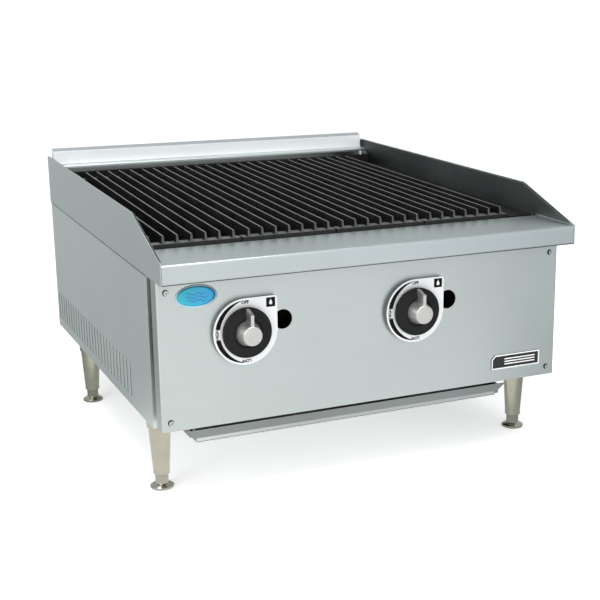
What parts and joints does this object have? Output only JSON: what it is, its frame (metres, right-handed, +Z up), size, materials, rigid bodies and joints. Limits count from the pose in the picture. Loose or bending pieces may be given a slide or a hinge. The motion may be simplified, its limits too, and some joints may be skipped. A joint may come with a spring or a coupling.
{
  "type": "countertop gas charbroiler",
  "caption": "Countertop gas charbroiler: steel body on short legs, sloped cast iron bar grates between splash guards, turn knobs, drip tray under the body.",
  "frame": {"origin": "floor level, under the middle of the whole object's box", "axes": "+Z up, -Y towards the cook (control panel side), +X to the cook's right"},
  "size_m": [0.61, 0.72, 0.4158],
  "materials": {
    "stainless": "satin brushed",
    "liner_steel": "heat-darkened",
    "backguard_steel": "bright satin",
    "inner_steel": "dull aluminised",
    "grate_iron": "matte black seasoned",
    "radiant_steel": "heat-tinted",
    "burner_steel": "dull",
    "pipe_iron": "black pipe",
    "brass": "machined",
    "knob_black": "satin black",
    "knob_metal": "satin",
    "dial_silver": "satin print",
    "leg_nickel": "satin nickel",
    "foot_chrome": "polished",
    "screw_steel": "polished",
    "badge_black": "gloss with silver border",
    "tray_steel": "dull satin"
  },
  "bodies": {
    "body": {"front_panel": "stainless", "front_rail": "stainless", "left_guard": "stainless", "right_guard": "stainless", "left_side_panel": "stainless", "right_side_panel": "stainless", "rear_panel": "stainless", "backguard": "backguard_steel", "left_liner": "liner_steel", "right_liner": "liner_steel", "right_deck": "liner_steel", "firebox_front": "liner_steel", "firebox_rear": "liner_steel", "firebox_right_wall": "liner_steel", "base_channel_left": "inner_steel", "base_channel_right": "inner_steel", "base_cross_front": "inner_steel", "base_cross_rear": "inner_steel", "tray_runner_left": "inner_steel", "tray_runner_right": "inner_steel", "grate_rest_front": "inner_steel", "grate_rest_rear": "inner_steel", "radiant_supports": "inner_steel", "burner_rest": "inner_steel", "leg_nuts": "inner_steel", "radiant_1": "radiant_steel", "radiant_2": "radiant_steel", "radiant_3": "radiant_steel", "radiant_4": "radiant_steel", "burner_left": "burner_steel", "burner_right": "burner_steel", "pilot_left": "burner_steel", "pilot_right": "burner_steel", "gas_manifold": "pipe_iron", "valve_body_left": "brass", "valve_body_right": "brass", "orifice_hoods": "brass", "panel_screws": "screw_steel", "dial_plate_left": "dial_silver", "dial_plate_right": "dial_silver", "badge": "badge_black", "leg_front_left": "leg_nickel", "leg_front_right": "leg_nickel", "leg_rear_left": "leg_nickel", "leg_rear_right": "leg_nickel"},
    "tray": {"drip_tray": "tray_steel"},
    "grate_1": {"grate_1": "grate_iron"},
    "grate_2": {"grate_2": "grate_iron"},
    "grate_3": {"grate_3": "grate_iron"},
    "grate_4": {"grate_4": "grate_iron"},
    "stem_left": {"valve_stem_left": "screw_steel"},
    "knob_left": {"knob_skirt_left": "knob_black", "knob_hub_left": "knob_metal"},
    "stem_right": {"valve_stem_right": "screw_steel"},
    "knob_right": {"knob_skirt_right": "knob_black", "knob_hub_right": "knob_metal"},
    "foot_front_left": {"foot_front_left": "foot_chrome"},
    "foot_front_right": {"foot_front_right": "foot_chrome"},
    "foot_rear_left": {"foot_rear_left": "foot_chrome"},
    "foot_rear_right": {"foot_rear_right": "foot_chrome"}
  },
  "joints": [
    {"name": "tray_slide", "type": "slide", "parent": "body", "child": "tray", "axis": [0, -1, 0], "range_m": [0, 0.48]},
    {"name": "grate_1_lift", "type": "slide", "parent": "body", "child": "grate_1", "axis": [0, 0, 1], "range_m": [0, 0.15]},
    {"name": "grate_2_lift", "type": "slide", "parent": "body", "child": "grate_2", "axis": [0, 0, 1], "range_m": [0, 0.15]},
    {"name": "grate_3_lift", "type": "slide", "parent": "body", "child": "grate_3", "axis": [0, 0, 1], "range_m": [0, 0.15]},
    {"name": "grate_4_lift", "type": "slide", "parent": "body", "child": "grate_4", "axis": [0, 0, 1], "range_m": [0, 0.15]},
    {"name": "knob_left_push", "type": "slide", "parent": "body", "child": "stem_left", "axis": [0, 1, 0], "range_m": [0, 0.003], "stiffness_N_per_m": 1500},
    {"name": "knob_left_turn", "type": "hinge", "parent": "stem_left", "child": "knob_left", "pos_m": [-0.186, -0.324, 0.229], "axis": [0, -1, 0], "range_deg": [0, 180]},
    {"name": "knob_right_push", "type": "slide", "parent": "body", "child": "stem_right", "axis": [0, 1, 0], "range_m": [0, 0.003], "stiffness_N_per_m": 1500},
    {"name": "knob_right_turn", "type": "hinge", "parent": "stem_right", "child": "knob_right", "pos_m": [0.064, -0.324, 0.229], "axis": [0, -1, 0], "range_deg": [0, 180]},
    {"name": "foot_front_left_screw", "type": "slide", "parent": "body", "child": "foot_front_left", "axis": [0, 0, -1], "range_m": [0, 0.018]},
    {"name": "foot_front_right_screw", "type": "slide", "parent": "body", "child": "foot_front_right", "axis": [0, 0, -1], "range_m": [0, 0.018]},
    {"name": "foot_rear_left_screw", "type": "slide", "parent": "body", "child": "foot_rear_left", "axis": [0, 0, -1], "range_m": [0, 0.018]},
    {"name": "foot_rear_right_screw", "type": "slide", "parent": "body", "child": "foot_rear_right", "axis": [0, 0, -1], "range_m": [0, 0.018]}
  ]
}
